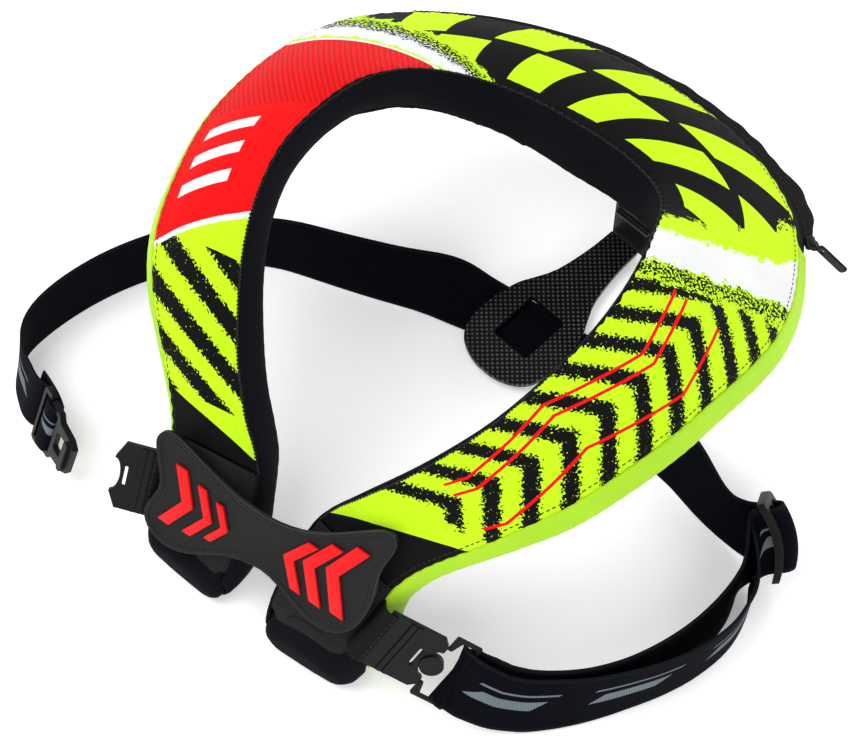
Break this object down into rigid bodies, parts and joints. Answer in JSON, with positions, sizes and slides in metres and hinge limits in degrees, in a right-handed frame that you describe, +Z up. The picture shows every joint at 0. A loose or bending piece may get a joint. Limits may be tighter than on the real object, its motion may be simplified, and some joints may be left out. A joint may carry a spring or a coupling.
{
  "type": "protective neck collar",
  "caption": "Padded saddle-shaped neck collar for sport, with a printed cloth cover, rubber front closure tab, plastic clip plates, elastic body straps and a stiff back plate.",
  "frame": {"origin": "bottom centre of the bounding box, on the surface the collar rests on", "axes": "+X to the wearer's left, across the shoulders; +Y from the front tab to the wearer's back; +Z up"},
  "size_m": [0.4532, 0.4048, 0.1906],
  "materials": {
    "black_fabric": "matt woven polyester over foam",
    "print_fabric": "printed woven polyester, satin",
    "lime_fabric": "plain woven polyester, satin",
    "neoprene": "matt knit-faced neoprene",
    "zip_tape": "woven tape with moulded teeth",
    "tab_rubber": "moulded, satin",
    "tab_red": "moulded, satin",
    "webbing": "elastic woven webbing with stitched edges",
    "black_plastic": "moulded nylon, satin",
    "carbon": "carbon-look twill under clear coat"
  },
  "bodies": {
    "root": {"collar_core": "neoprene", "top_panel": "print_fabric", "front_cover_left": "black_fabric", "front_cover_right": "black_fabric", "inner_band": "neoprene", "outer_band_left": "lime_fabric", "outer_band_right": "lime_fabric", "zip_band": "black_fabric", "back_zip": "zip_tape", "closure_tab": "tab_rubber", "tab_chevron_1": "tab_red", "tab_chevron_2": "tab_red", "tab_chevron_3": "tab_red", "tab_chevron_4": "tab_red", "tab_chevron_5": "tab_red", "tab_chevron_6": "tab_red", "clip_plate_left": "black_plastic", "clip_plate_right": "black_plastic", "clip_frame_right": "black_plastic", "strap_left": "webbing", "strap_right_back": "webbing", "strap_right_loop": "webbing", "slider_right": "black_plastic", "slider_left": "black_plastic", "buckle_left": "black_plastic", "back_plate": "carbon", "plate_bracket": "black_plastic", "zip_puller": "zip_tape"}
  },
  "joints": []
}
